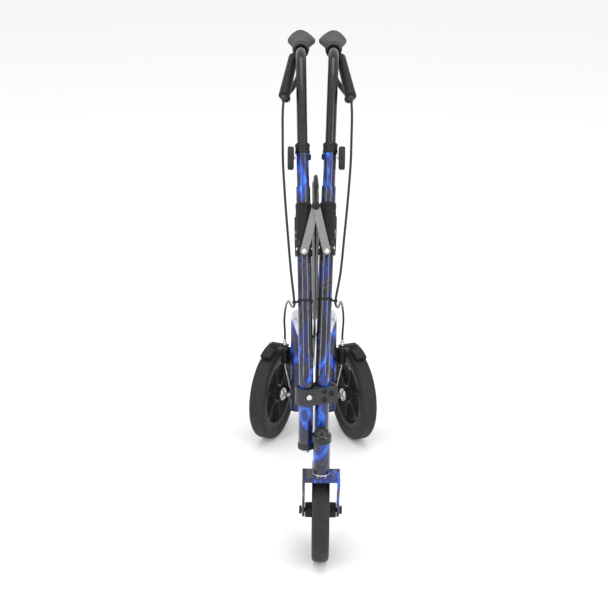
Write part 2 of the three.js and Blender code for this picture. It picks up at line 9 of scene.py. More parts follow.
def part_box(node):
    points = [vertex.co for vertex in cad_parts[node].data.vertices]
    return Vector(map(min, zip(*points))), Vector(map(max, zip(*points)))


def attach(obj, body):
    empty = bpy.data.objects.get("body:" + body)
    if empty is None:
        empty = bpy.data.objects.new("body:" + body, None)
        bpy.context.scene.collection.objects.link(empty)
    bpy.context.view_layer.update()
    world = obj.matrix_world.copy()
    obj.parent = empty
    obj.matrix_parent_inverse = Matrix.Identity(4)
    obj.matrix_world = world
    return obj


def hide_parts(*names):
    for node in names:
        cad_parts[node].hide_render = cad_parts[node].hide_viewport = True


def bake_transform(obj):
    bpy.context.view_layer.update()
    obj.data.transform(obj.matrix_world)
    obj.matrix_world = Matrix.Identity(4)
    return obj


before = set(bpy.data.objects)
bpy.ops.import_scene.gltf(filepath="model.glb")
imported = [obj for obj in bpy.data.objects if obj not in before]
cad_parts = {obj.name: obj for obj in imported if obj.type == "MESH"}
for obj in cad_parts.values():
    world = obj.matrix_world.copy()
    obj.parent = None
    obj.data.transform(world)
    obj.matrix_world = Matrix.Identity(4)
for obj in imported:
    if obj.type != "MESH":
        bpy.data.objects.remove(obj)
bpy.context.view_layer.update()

# ------------------------------------------------------------------ driving dimensions
LOW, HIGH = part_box("front_axle")
AXLE_Y = 500 * (LOW[1] + HIGH[1])           # the model's y where the front axle is
MIDDLE_X = -1
TUBE_R = 12.7
SLEEVE_R = 11.1
HANDLE_R = 9.525
FOOT_Z = 252
CORNER_Z = 382.6
TUBE_TOP_Z = 671
KNOB_Z = 718
COLLAR_ALONG = 6.5
HANDLE_CORNER = (29.5, 260.8, 878.7)
HANDLE_END = (31, 424, 867.3)
LEG = (33.7, 500, 69, 276)
WHEEL_R = 95
TOE_OUT = math.radians(22)
REAR_WHEEL = (81.5, 520)
STEM = (13.7, -60)
TUBE_BEND = 70
HANDLE_BEND = 60
LEG_BEND = 45
ARCH_TOP_Z = 440
GRIP_START = 39                             # along the grip's axis from the handle tube's corner
HANDLE_INSERTED = 185                       # handle tube below the collar
SPRING_FROM_LEG = 26.5
BRACE_FOOT = (20, 72.9, 568)                # sideways from the middle plane, y, z
BRACE_REACH = 81.3                          # from the feet's line up to the middle pivot
BRACE_OFFSET = 21.5                         # in front of the plane of the two side tubes
LENS_MM = 127
SENSOR_MM = 36
CAMERA_AT = (-20.3, -3498.8, 1906.5)
CAMERA_DOWN = math.radians(21.9)
CAMERA_ROLL = math.radians(0.6)
WAVE_SCALE_MM = 500                         # wave texture scale for a nominal thread pitch of 1 mm
SIDES = {"left": (1, (13, -32)), "right": (-1, (-15, -43))}
UP = Vector((0, 0, 1))


def pt(x, y, z):
    return Vector((x, y, z))


def placed(p):
    return Vector((p[0], p[1] + AXLE_Y, p[2])) / 1000


# ------------------------------------------------------------------ materials
def material(name, color, roughness, metallic=0.0, coat=0.0):
    mat = bpy.data.materials.new(name)
    mat.use_nodes = True
    shader = mat.node_tree.nodes["Principled BSDF"]
    shader.inputs["Base Color"].default_value = (*color, 1)
    shader.inputs["Roughness"].default_value = roughness
    shader.inputs["Metallic"].default_value = metallic
    shader.inputs["Coat Weight"].default_value = coat
    shader.inputs["Coat Roughness"].default_value = 0.08
    if not metallic:
        shader.inputs["Specular IOR Level"].default_value = 0.28
    return mat


def node(mat, kind, **values):
    made = mat.node_tree.nodes.new(kind)
    for key, value in values.items():
        if key in made.inputs:
            made.inputs[key].default_value = value
        else:
            setattr(made, key, value)
    return made


def link(mat, source, target):
    mat.node_tree.links.new(source, target)


def coords(mat, scale):
    place = node(mat, "ShaderNodeTexCoord")
    mapping = node(mat, "ShaderNodeMapping")
    mapping.inputs["Scale"].default_value = scale
    link(mat, place.outputs["Object"], mapping.inputs["Vector"])
    return mapping.outputs["Vector"]


def noise_of(mat, scale, detail=4.0, distortion=0.0, stretch=(1, 1, 1), rough=0.55):
    tex = node(mat, "ShaderNodeTexNoise", Scale=scale, Detail=detail, Distortion=distortion, Roughness=rough)
    link(mat, coords(mat, stretch), tex.inputs["Vector"])
    return tex.outputs["Fac"]


def ramp(mat, source, stops, ease="LINEAR"):
    made = node(mat, "ShaderNodeValToRGB")
    made.color_ramp.interpolation = ease
    points = made.color_ramp.elements
    while len(points) < len(stops):
        points.new(0.5)
    for element, (place, color) in zip(points, stops):
        element.position = place
        element.color = (*color, 1) if len(color) == 3 else color
    link(mat, source, made.inputs["Fac"])
    return made.outputs["Color"]


def grey(value):
    return (value, value, value)


def shader_of(mat):
    return mat.node_tree.nodes["Principled BSDF"]


def color_by(mat, source):
    link(mat, source, shader_of(mat).inputs["Base Color"])


def rough_by(mat, source, low, high):
    link(mat, ramp(mat, source, [(0.25, grey(low)), (0.75, grey(high))]), shader_of(mat).inputs["Roughness"])


def bump_by(mat, source, distance_mm, strength=1.0):
    bump = node(mat, "ShaderNodeBump", Strength=strength, Distance=distance_mm / 1000)
    link(mat, source, bump.inputs["Height"])
    last = shader_of(mat).inputs["Normal"]
    if last.is_linked:
        link(mat, last.links[0].from_socket, bump.inputs["Normal"])
    link(mat, bump.outputs["Normal"], last)


def flame_paint():
    mat = material("flame_paint", (0.01, 0.03, 0.2), 0.3, coat=0.6)
    swirl = noise_of(mat, 26, detail=2.2, distortion=1.7, stretch=(1, 0.45, 0.4))
    stops = [(0.0, (0.003, 0.003, 0.007)), (0.40, (0.006, 0.006, 0.016)), (0.45, (0.03, 0.03, 0.05)),
             (0.49, (0.004, 0.006, 0.03)), (0.54, (0.004, 0.014, 0.12)), (0.60, (0.006, 0.045, 0.34)),
             (0.65, (0.015, 0.14, 0.62)), (0.69, (0.005, 0.025, 0.2)), (0.76, (0.008, 0.005, 0.02))]
    color_by(mat, ramp(mat, swirl, stops))
    rough_by(mat, noise_of(mat, 260, detail=3), 0.22, 0.36)
    bump_by(mat, noise_of(mat, 900, detail=2), 0.02)
    return mat


def plain(name, color, roughness, grain_scale, grain_mm, metallic=0.0, coat=0.0, vary=0.25):
    """A moulded, cast or painted surface: slight colour change, uneven gloss and a fine grain."""
    mat = material(name, color, roughness, metallic, coat)
    cloud = noise_of(mat, 45, detail=5)
    dark = tuple(c * (1 - vary) for c in color)
    light = tuple(min(1, c * (1 + vary)) for c in color)
    color_by(mat, ramp(mat, cloud, [(0.3, dark), (0.7, light)]))
    rough_by(mat, noise_of(mat, 180, detail=4), max(0.05, roughness - 0.08), min(1, roughness + 0.1))
    bump_by(mat, noise_of(mat, grain_scale, detail=3), grain_mm)
    return mat


def brushed(name, color):
    mat = material(name, color, 0.34, metallic=0.95)
    fine = noise_of(mat, 300, detail=4, stretch=(12, 1, 0.35))
    color_by(mat, ramp(mat, fine, [(0.3, tuple(c * 0.75 for c in color)),
                                   (0.7, tuple(c * 1.15 for c in color))]))
    rough_by(mat, fine, 0.28, 0.5)
    bump_by(mat, fine, 0.04)
    return mat


def woven(name, color, pitch_mm, sheen):
    """Plain-woven cloth: two crossed sets of threads over slow wrinkles, with painted shade between the
    threads and a painted highlight on their crowns.
    """
    mat = material(name, color, 0.75)
    shader_of(mat).inputs["Sheen Weight"].default_value = sheen
    wave = WAVE_SCALE_MM / pitch_mm
    height = None
    for axis in ("X", "Z"):
        thread = node(mat, "ShaderNodeTexWave", Scale=wave, Distortion=0.4, Detail=1.0)
        thread.bands_direction = "Z" if axis == "Z" else "Y"
        link(mat, coords(mat, (1, 1, 1)), thread.inputs["Vector"])
        if height is None:
            height = thread.outputs["Fac"]
        else:
            both = node(mat, "ShaderNodeMath", operation="MULTIPLY")
            link(mat, height, both.inputs[0])
            link(mat, thread.outputs["Fac"], both.inputs[1])
            height = both.outputs[0]
    # colour follows the thread height: painted shade in the dips between threads, painted highlight on the
    # thread crowns
    color_by(mat, ramp(mat, height, [(0.0, tuple(c * 0.6 for c in color)),
                                     (1.0, tuple(c * 1.5 for c in color))]))
    bump_by(mat, height, 0.25)
    bump_by(mat, noise_of(mat, 60, detail=4), 0.8)
    return mat


def vinyl():
    mat = material("pouch_vinyl", (0.028, 0.027, 0.026), 0.48, coat=0.15)
    cells = node(mat, "ShaderNodeTexVoronoi", Scale=900)
    cells.feature = "DISTANCE_TO_EDGE"
    link(mat, coords(mat, (1, 1, 1)), cells.inputs["Vector"])
    cloud = noise_of(mat, 30, detail=5)
    color_by(mat, ramp(mat, cloud, [(0.3, (0.008, 0.0078, 0.0075)), (0.7, (0.014, 0.0135, 0.013))]))
    rough_by(mat, noise_of(mat, 120), 0.38, 0.6)
    bump_by(mat, cells.outputs["Distance"], 0.15)
    bump_by(mat, cloud, 1.2)
    return mat


def tyre_rubber():
    mat = material("tyre_rubber", (0.085, 0.086, 0.09), 0.62)
    streaks = noise_of(mat, 60, detail=4, stretch=(1, 1, 1))
    color_by(mat, ramp(mat, streaks, [(0.3, (0.013, 0.0135, 0.015)), (0.7, (0.019, 0.0195, 0.021))]))
    rough_by(mat, noise_of(mat, 140, detail=4), 0.48, 0.7)
    bump_by(mat, noise_of(mat, 1400, detail=2), 0.05)
    return mat


MATERIALS = {
    "flame_paint": flame_paint(),
    "black_gloss": plain("black_gloss", (0.005, 0.005, 0.006), 0.16, 700, 0.01, coat=0.5),
    "grip_rubber": plain("grip_rubber", (0.055, 0.055, 0.058), 0.68, 1500, 0.12),
    "dark_plastic": plain("dark_plastic", (0.007, 0.007, 0.008), 0.46, 1300, 0.05),
    "knob_plastic": plain("knob_plastic", (0.018, 0.018, 0.02), 0.55, 1300, 0.07),
    "cap_plastic": plain("cap_plastic", (0.008, 0.011, 0.010), 0.3, 900, 0.03, coat=0.3),
    "grey_casting": plain("grey_casting", (0.022, 0.022, 0.026), 0.44, 1100, 0.08, coat=0.15),
    "silver_metal": plain("silver_metal", (0.62, 0.62, 0.61), 0.26, 500, 0.02, metallic=1.0, vary=0.12),
    "brushed_link": brushed("brushed_link", (0.24, 0.24, 0.235)),
    "tyre_rubber": tyre_rubber(),
    "rim_plastic": plain("rim_plastic", (0.007, 0.007, 0.008), 0.4, 900, 0.04),
    "pouch_vinyl": vinyl(),
    "sleeve_fabric": woven("sleeve_fabric", (0.010, 0.010, 0.012), 1.1, 0.05),
    "cable_cover": plain("cable_cover", (0.012, 0.012, 0.013), 0.35, 800, 0.02),
}


# ------------------------------------------------------------------ mesh helpers
def piece(name, verts, faces, slot, body, replaces=(), sharp=35, bevel=0.0, level=0):
    """A closed mesh given in millimetres, finished, riding on a body and standing for CAD nodes."""
    mesh = bpy.data.meshes.new(name)
    mesh.from_pydata([placed(v) for v in verts], [], faces)
    return dressed(name, mesh, slot, body, replaces, sharp, bevel, level)


def dressed(name, mesh, slot, body, replaces=(), sharp=35, bevel=0.0, level=0):
    work = bmesh.new()
    work.from_mesh(mesh)
    bmesh.ops.recalc_face_normals(work, faces=work.faces)
    work.to_mesh(mesh)
    work.free()
    mesh.materials.clear()
    mesh.materials.append(MATERIALS[slot])
    for face in mesh.polygons:
        face.use_smooth = True
    mesh.set_sharp_from_angle(angle=math.radians(sharp))
    obj = bpy.data.objects.new(name, mesh)
    bpy.context.collection.objects.link(obj)
    if bevel:
        edge = obj.modifiers.new("edge", "BEVEL")
        edge.width = bevel / 1000
        edge.segments = 2
        edge.limit_method = "ANGLE"
        edge.angle_limit = math.radians(sharp)
        edge.harden_normals = True
    if level:
        fine = obj.modifiers.new("fine", "SUBSURF")
        fine.levels = level
        fine.render_levels = level
    if body:
        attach(obj, body)
    if replaces:
        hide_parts(*replaces)
    return obj


def turned(profile, at, axis, segments=64):
    """Rings of a profile of (radius, height) pairs about an axis, closed at the axis or on itself."""
    turn = UP.rotation_difference(Vector(axis).normalized())
    loop = profile[0] == profile[-1]
    rings = profile[:-1] if loop else profile
    verts, faces, index = [], [], []
    for radius, height in rings:
        if radius < 1e-6:
            index.append([len(verts)] * segments)
            verts.append(at + turn @ Vector((0, 0, height)))
            continue
        index.append(list(range(len(verts), len(verts) + segments)))
        for k in range(segments):
            angle = 2 * math.pi * k / segments
            verts.append(at + turn @ Vector((radius * math.cos(angle), radius * math.sin(angle), height)))
    count = len(rings)
    for i in range(count if loop else count - 1):
        low, high = index[i], index[(i + 1) % count]
        for k in range(segments):
            n = (k + 1) % segments
            ring = [low[k], low[n], high[n], high[k]]
            face = [v for j, v in enumerate(ring) if v not in ring[:j]]
            if len(face) > 2:
                faces.append(face)
    return verts, faces


def joined(*shapes):
    verts, faces = [], []
    for more_verts, more_faces in shapes:
        base = len(verts)
        verts.extend(more_verts)
        faces.extend([[v + base for v in face] for face in more_faces])
    return verts, faces


def swept(path, section, caps=True):
    """A section, given for each station as a list of (across, over) pairs, carried along a path."""
    count = len(path)
    tangents = []
    for i in range(count):
        tangents.append((path[min(i + 1, count - 1)] - path[max(i - 1, 0)]).normalized())
    side = tangents[0].cross(UP if abs(tangents[0].z) < 0.9 else Vector((0, 1, 0))).normalized()
    verts, faces = [], []
    for i, point in enumerate(path):
        if i:
            side = tangents[i - 1].rotation_difference(tangents[i]) @ side
        over = side.cross(tangents[i])
        for across, above in section(i / (count - 1)):
            verts.append(point + side * across + over * above)
    n = len(verts) // count
    for i in range(count - 1):
        for k in range(n):
            m = (k + 1) % n
            faces.append([i * n + k, i * n + m, (i + 1) * n + m, (i + 1) * n + k])
    if caps:
        faces.append(list(range(n))[::-1])
        faces.append([(count - 1) * n + k for k in range(n)])
    return verts, faces


def ring(radius, count=48, flat=1.0):
    angles = [2 * math.pi * k / count for k in range(count)]
    return [(radius * math.cos(a), flat * radius * math.sin(a)) for a in angles]


def pipe(path, radius, count=48):
    return swept(path, lambda t: ring(radius, count))


def rounded(corners, bend, pitch=9, turn_steps=18):
    """Points along straight runs with each corner rounded as in the frame."""
    points = [corners[0]]
    for i in range(1, len(corners) - 1):
        inward = (corners[i] - corners[i - 1]).normalized()
        outward = (corners[i + 1] - corners[i]).normalized()
        reach = bend * math.tan(inward.angle(outward) / 2)
        start, end = corners[i] - inward * reach, corners[i] + outward * reach
        for k in range(turn_steps + 1):
            t = k / turn_steps
            points.append(start * (1 - t) ** 2 + corners[i] * 2 * t * (1 - t) + end * t * t)
    points.append(corners[-1])
    filled = [points[0]]
    for a, b in zip(points, points[1:]):
        steps = max(1, round((b - a).length / (pitch * 4)))
        filled.extend(a.lerp(b, k / steps) for k in range(1, steps + 1))
    return filled


def catmull(points, per=8):
    out = []
    for i in range(len(points) - 1):
        a, b, c, d = (points[max(i - 1, 0)], points[i], points[i + 1], points[min(i + 2, len(points) - 1)])
        for k in range(per):
            t = k / per
            out.append(0.5 * ((2 * b) + (c - a) * t + (2 * a - 5 * b + 4 * c - d) * t * t
                              + (3 * b - a - 3 * c + d) * t ** 3))
    out.append(points[-1])
    return out


def moulded(node_name, slot, body, voxel, relax):
    """The CAD piece with its edges rounded over, as a casting or moulding has them."""
    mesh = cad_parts[node_name].data.copy()
    work = bmesh.new()
    work.from_mesh(mesh)
    bmesh.ops.remove_doubles(work, verts=work.verts, dist=1e-6)
    work.to_mesh(mesh)
    work.free()
    shell = bpy.data.objects.new("shell", mesh)
    bpy.context.collection.objects.link(shell)
    grid = shell.modifiers.new("grid", "REMESH")
    grid.mode = "VOXEL"
    grid.voxel_size = voxel / 1000
    soft = shell.modifiers.new("soft", "SMOOTH")
    soft.iterations = relax
    soft.factor = 0.5
    graph = bpy.context.evaluated_depsgraph_get()
    final = bpy.data.meshes.new_from_object(shell.evaluated_get(graph))
    bpy.data.objects.remove(shell)
    final.name = f"{node_name}_shape"
    return dressed(f"{node_name}_shape", final, slot, body, [node_name], sharp=180)


# ------------------------------------------------------------------ lines of the side frames
def corner(side):
    _, foot = SIDES[side]
    return pt(*foot, CORNER_Z)


def handle_corner(side):
    x, y, z = HANDLE_CORNER
    return pt(MIDDLE_X + SIDES[side][0] * x, y, z)


def slant(side):
    return (handle_corner(side) - corner(side)).normalized()


def on_slant(side, z, along=0):
    direction = slant(side)
    return corner(side) + direction * ((z - CORNER_Z) / direction.z + along)


def outward(side):
    return Vector((SIDES[side][0] * math.cos(TOE_OUT), math.sin(TOE_OUT), 0))


def forward(side):
    return Vector((SIDES[side][0] * math.sin(TOE_OUT), -math.cos(TOE_OUT), 0))


def wheel_centre(side):
    return pt(SIDES[side][0] * REAR_WHEEL[0], REAR_WHEEL[1], WHEEL_R)


def leg(side, z):
    return pt(SIDES[side][0] * LEG[0], LEG[1], z)


def grip_axis(side):
    x, y, z = HANDLE_END
    return (pt(MIDDLE_X + SIDES[side][0] * x, y, z) - handle_corner(side)).normalized()


def on_grip(side, along):
    return handle_corner(side) + grip_axis(side) * along


# ------------------------------------------------------------------ tubes
def side_tubes(side):
    m, foot = SIDES[side]
    body = f"{side}_frame"
    main = rounded([pt(*foot, FOOT_Z), corner(side), on_slant(side, TUBE_TOP_Z, -0.6)], TUBE_BEND)
    lip = turned([(SLEEVE_R + 0.1, -0.8), (TUBE_R, -0.8), (TUBE_R - 0.4, 0.4), (SLEEVE_R + 0.1, 0.7),
                  (SLEEVE_R + 0.1, -0.8)], on_slant(side, TUBE_TOP_Z), slant(side))
    piece(f"{side}_main_tube_shape", *joined(pipe(main, TUBE_R), lip), "flame_paint", body,
          [f"{side}_main_tube"])
    sleeve = [on_slant(side, TUBE_TOP_Z, -30), on_slant(side, KNOB_Z, COLLAR_ALONG - 0.4)]
    piece(f"{side}_upper_sleeve_shape", *pipe(sleeve, SLEEVE_R), "flame_paint", body,
          [f"{side}_upper_sleeve"])
    start = on_slant(side, ARCH_TOP_Z)
    corner_point = leg(side, LEG[3])
    away = (corner_point - start).normalized()
    arch = rounded([leg(side, LEG[2]), corner_point, start + away * 11], LEG_BEND)
    piece(f"{side}_arch_tube_shape", *pipe(arch, TUBE_R), "flame_paint", body, [f"{side}_arch_tube"])
    bead = turned([(11.5, -3), (13.6, -1), (13.9, 1.5), (11.5, 3), (11.5, -3)], start + away * 13.6, away)
    piece(f"{side}_arch_weld", *bead, "flame_paint", body, sharp=60, level=1)
    plug = [(0, -3.3), (11.4, -3.3), (12.5, -2.2), (12.5, -0.4), (0, -0.4)]
    piece(f"{side}_leg_plug_shape", *turned(plug, leg(side, LEG[2]), UP), "dark_plastic", body,
          [f"{side}_leg_plug"], bevel=0.5)
    collar = [(9.8, 0), (12.8, 0), (13.5, 0.8), (13.5, 4.2), (12.9, 4.8), (12.9, 12), (13.5, 12.8),
              (13.5, 15.6),
              (12.2, 18), (9.8, 18), (9.8, 0)]
    piece(f"{side}_collar_shape", *turned(collar, on_slant(side, KNOB_Z, COLLAR_ALONG), slant(side)),
          "dark_plastic", body, [f"{side}_collar"], bevel=0.3)
    screw = on_slant(side, KNOB_Z)
    bolt_at = screw - Vector((m * (SLEEVE_R - 0.2), 0, 0))
    head = [(0, 0), (6.2, 0), (6.2, 0.8), (5.6, 1.4), (5.2, 3.4), (4.2, 4.2), (2.6, 4.3), (2.4, 3.1),
            (0, 3.1)]
    piece(f"{side}_sleeve_bolt_shape", *turned(head, bolt_at, (-m, 0, 0), 40), "dark_plastic", body,
          [f"{side}_sleeve_bolt"], bevel=0.2)


def fabric_sleeve(side):
    """The pouch's sleeve round the tube: hemmed ends, a lap seam, an outer strap with a snap."""
    m, _ = SIDES[side]
    body = f"{side}_frame"
    low, high = on_slant(side, 578), on_slant(side, 645)
    count = 60
    path = [low.lerp(high, k / count) for k in range(count + 1)]

    def outline(t):
        hem = 0.9 * math.exp(-((t - 0.045) / 0.03) ** 2) + 0.9 * math.exp(-((t - 0.955) / 0.03) ** 2)
        shape = []
        for k in range(96):
            a = 2 * math.pi * k / 96
            slack = noise.noise(Vector((math.cos(a) * 1.6, math.sin(a) * 1.6 + m, t * 4.5)))
            seam = 1.1 * math.exp(-((a - 1.2) / 0.09) ** 2)
            r = 14.4 + hem + seam + 0.9 * slack + 0.25 * math.sin(t * 40 + 3 * math.cos(a))
            shape.append((r * math.cos(a), r * math.sin(a)))
        return shape

    def inner(t):
        return [(13.0 * math.cos(2 * math.pi * k / 96),
                 13.0 * math.sin(2 * math.pi * k / 96)) for k in range(96)]

    outer_verts, outer_faces = swept(path, outline, caps=False)
    inner_verts, inner_faces = swept(path, inner, caps=False)
    verts, faces = joined((outer_verts, outer_faces), (inner_verts, [f[::-1] for f in inner_faces]))
    shift = len(outer_verts)
    for base in (0, count * 96):
        for k in range(96):
            n = (k + 1) % 96
            faces.append([base + k, base + n, base + n + shift, base + k + shift])
    piece(f"{side}_pouch_sleeve_shape", verts, faces, "sleeve_fabric", body, [f"{side}_pouch_sleeve"],
          sharp=70)

    strap_path = [on_slant(side, z) + Vector((m * (15.4 + 0.5 * math.sin((z - 562) / 60 * math.pi)), 7, 0))
                  for z in range(562, 624, 4)]
    band = swept(strap_path, lambda t: [(-0.7, -5), (0.7, -5), (0.7, 5), (-0.7, 5)])
    piece(f"{side}_pouch_strap", *band, "sleeve_fabric", body, bevel=0.3)
    button = [(0, 2.2), (2.8, 1.9), (4.6, 1.1), (5.2, 0), (5.2, -0.8), (0, -0.8)]
    spot = on_slant(side, 584) + Vector((m * 9.5, -12.6, 5))
    piece(f"{side}_pouch_snap", *turned(button, spot, (m * 0.55, -0.75, 0.35), 40), "knob_plastic", body,
          bevel=0.2)


# ------------------------------------------------------------------ handles
def handle(side):
    m, _ = SIDES[side]
    body = f"{side}_handle"
    bottom = on_slant(side, KNOB_Z, COLLAR_ALONG - HANDLE_INSERTED)
    tube = rounded([bottom, handle_corner(side), on_grip(side, GRIP_START + 108)], HANDLE_BEND)
    piece(f"{side}_handle_tube_shape", *pipe(tube, HANDLE_R), "black_gloss", body, [f"{side}_handle_tube"])
    grip(side, body)
    moulded(f"{side}_brake_housing", "dark_plastic", body, 1.0, 8)
    ferrule_at = pt(m * 60.2, 211, 814.8)
    along = (pt(m * 60.6, 205.5, 811.6) - ferrule_at).normalized()
    ferrule = [(0, -3), (6, -3), (6, 0), (4.6, 1), (4.4, 5), (3.2, 6.4), (0, 6.4)]
    piece(f"{side}_cable_ferrule", *turned(ferrule, ferrule_at, along, 40), "grey_casting", body, bevel=0.3)
    lever(side)
    knob(side)


def grip(side, body):
    """Moulded palm grip: narrow at the collar, a palm wing that reaches inwards, finger waves below."""
    m, _ = SIDES[side]
    stations = [(0, 15), (2, 15.6), (4, 15.7), (6, 15.2), (7.2, 14.2), (9, 13.9), (12, 14), (20, 14),
                (30, 14.3),
                (45, 15.1), (60, 16), (72, 16.9), (84, 17.5), (94, 17.5), (104, 17), (111, 15.6), (116, 13.5),
                (119, 9.5), (120, 5), (120.4, 0.01)]
    count = 72
    axis = grip_axis(side)
    start = on_grip(side, GRIP_START + 20.4)
    across = Vector((1, 0, 0))
    over = across.cross(axis).normalized()
    verts, faces = [], []
    for height, radius in stations:
        palm = math.sin(math.pi * min(1, max(0, (height - 20) / 110))) ** 2
        fingers = 0.7 * math.sin((height - 22) / 22 * 2 * math.pi) if 20 < height < 108 else 0
        for k in range(count):
            a = 2 * math.pi * k / count
            c, s = math.cos(a), math.sin(a)
            reach = 7 if c * m > 0 else 10.5
            share = radius / 17
            x = radius * c + palm * reach * share * c ** 3
            z = radius * s * (1 - 0.22 * palm)
            if s > 0:
                z += fingers * s ** 2 * share
            verts.append(start + axis * height + across * x + over * (-z if over.z > 0 else z))
    rows = len(stations)
    for i in range(rows - 1):
        for k in range(count):
            n = (k + 1) % count
            faces.append([i * count + k, i * count + n, (i + 1) * count + n, (i + 1) * count + k])
    faces.append([(rows - 1) * count + k for k in range(count)])
    faces.append(list(range(count))[::-1])
    piece(f"{side}_grip_shape", verts, faces, "grip_rubber", body, [f"{side}_grip"], sharp=50)


def lever(side):
    m, _ = SIDES[side]
    pivot = pt(m * 57, 238, 804)
    path = catmull([pivot, pt(m * 56, 262, 803), pt(m * 46, 300, 806), pt(MIDDLE_X + m * 36, 340, 812),
                    pt(MIDDLE_X + m * 32, 392, 815)], 10)

    def blade(t):
        width = 4.2 + 1.2 * math.sin(math.pi * t)
        end = min(1, (1 - t) * 14 + 0.25)
        return [(width * end * c, 3.6 * end * s) for c, s in ring(1, 28)]

    hub = turned([(2.6, -4.4), (6.4, -4.4), (7, -3.6), (7, 3.6), (6.4, 4.4), (2.6, 4.4), (2.6, -4.4)], pivot,
                 (1, 0, 0), 40)
    piece(f"{side}_brake_lever_shape", *joined(swept(path, blade), hub), "dark_plastic", f"{side}_lever",
          [f"{side}_brake_lever"], sharp=50)
    pin = [(0, -8.4), (3.4, -8.4), (3.8, -7.6), (2.4, -7.5), (2.4, 7.5), (3.8, 7.6), (3.4, 8.4), (0, 8.4)]
    piece(f"{side}_lever_pin", *turned(pin, pivot, (1, 0, 0), 32), "silver_metal", f"{side}_handle",
          bevel=0.2)


def knob(side):
    """Three-lobed hand knob with a recessed face and its silver screw."""
    m, _ = SIDES[side]
    centre = on_slant(side, KNOB_Z)
    axis = Vector((m, 0, 0))
    layers = [(0.0, 0.86), (1.2, 0.95), (2.4, 1.0), (9.2, 1.0), (10.8, 0.955), (11.5, 0.87), (11.5, 0.62),
              (10.3, 0.55), (10.3, 0.3)]
    count = 120
    verts, faces = [], []
    for depth, share in layers:
        for k in range(count):
            a = 2 * math.pi * k / count
            reach = 19.5 + 4 * math.cos(3 * a)
            if share < 0.7:
                reach = 17
            verts.append(centre + axis * (15.5 + depth)
                         + Vector((0, math.cos(a), math.sin(a) * m)) * reach * share)
    for i in range(len(layers) - 1):
        for k in range(count):
            n = (k + 1) % count
            faces.append([i * count + k, i * count + n, (i + 1) * count + n, (i + 1) * count + k])
    faces.append(list(range(count))[::-1])
    faces.append([(len(layers) - 1) * count + k for k in range(count)])
    piece(f"{side}_height_knob_shape", verts, faces, "knob_plastic", f"{side}_knob", [f"{side}_height_knob"],
          sharp=40)
    stud = [(0, 10.4), (2.9, 10.4), (2.9, 13.2), (4.6, 13.4), (4.6, 16), (0, 16)]
    piece(f"{side}_knob_screw", *turned(stud, centre, axis, 32), "silver_metal", f"{side}_knob", bevel=0.2)


# ------------------------------------------------------------------ wheels
def wheel(label, centre, axis, body, node_tyre, node_rim, hub_back, hub_front):
    crown = [(73.9, -12.4), (75.5, -13.6), (79, -14.6), (80.5, -15.4), (83.5, -15.7), (84.5, -15.2),
             (88, -15.6),
             (91.2, -14.4), (93.4, -12.2), (94.7, -9), (95, -6.5), (94.75, -6.2), (94.75, -5.8), (95, -5.5),
             (95, -1.2), (94.7, -0.9)]
    profile = crown + [(r, -h) for r, h in reversed(crown)]
    piece(f"{label}_tyre_shape", *turned(profile + [profile[0]], centre, axis, 144), "tyre_rubber", body,
          [node_tyre], sharp=50)
    barrel = [(61.5, -11.4), (63, -12), (72.4, -12.6), (73.8, -12), (73.8, 12), (72.4, 12.6), (63, 12),
              (61.5, 11.4),
              (62.6, 3), (62.6, -3), (61.5, -11.4)]
    hub = [(5.2, -hub_back), (12.6, -hub_back), (14, -hub_back + 1.2), (14.4, -12), (19, -10.5), (20, -8),
           (20, 8),
           (19, 10.5), (14.4, 12), (14, hub_front - 1), (12.8, hub_front), (5.2, hub_front), (5.2, -hub_back)]
    shapes = [turned(barrel, centre, axis, 144), turned(hub, centre, axis, 72)]
    shapes += [spoke(centre, axis, 2 * math.pi * (k + 0.5) / 6) for k in range(6)]
    piece(f"{label}_rim_shape", *joined(*shapes), "rim_plastic", body, [node_rim], sharp=40, bevel=0.5)


def spoke(centre, axis, angle):
    """A tapered web with a raised rib down its middle on both faces."""
    turn = UP.rotation_difference(Vector(axis).normalized())
    rows = [(17, 8.4, 8.6, 10.4), (24, 6.6, 7.2, 10.6), (34, 6.0, 6.4, 10.2), (46, 6.6, 6.4, 10.0),
            (55, 8.6, 7.4, 10.6), (62.2, 12.5, 8.6, 11.2)]
    verts, faces = [], []
    for reach, half, web, rib in rows:
        outline = [(-half, -web), (-1.8, -web), (-1.2, -rib), (1.2, -rib), (1.8, -web), (half, -web),
                   (half, web), (1.8, web), (1.2, rib), (-1.2, rib), (-1.8, web), (-half, web)]
        for across, up in outline:
            local = Matrix.Rotation(angle, 3, "Z") @ Vector((reach, across, up))
            verts.append(centre + turn @ local)
    n = 12
    for i in range(len(rows) - 1):
        for k in range(n):
            m = (k + 1) % n
            faces.append([i * n + k, i * n + m, (i + 1) * n + m, (i + 1) * n + k])
    faces.append(list(range(n))[::-1])
    faces.append([(len(rows) - 1) * n + k for k in range(n)])
    return verts, faces


def front_wheel():
    centre = pt(STEM[0], 0, WHEEL_R)
    axis = Vector((1, 0, 0))
    wheel("front", centre, axis, "front_wheel", "front_tyre", "front_rim", 28.4, 28.4)
    bolt = [(0, -39.4), (6.4, -39.4), (7.9, -38.2), (7.9, -34.4), (4, -34.3), (4, 34.3), (7.9, 34.4),
            (7.9, 38.2),
            (6.4, 39.4), (0, 39.4)]
    piece("front_axle_shape", *turned(bolt, centre, axis, 48), "grey_casting", "caster", ["front_axle"],
          bevel=0.3)


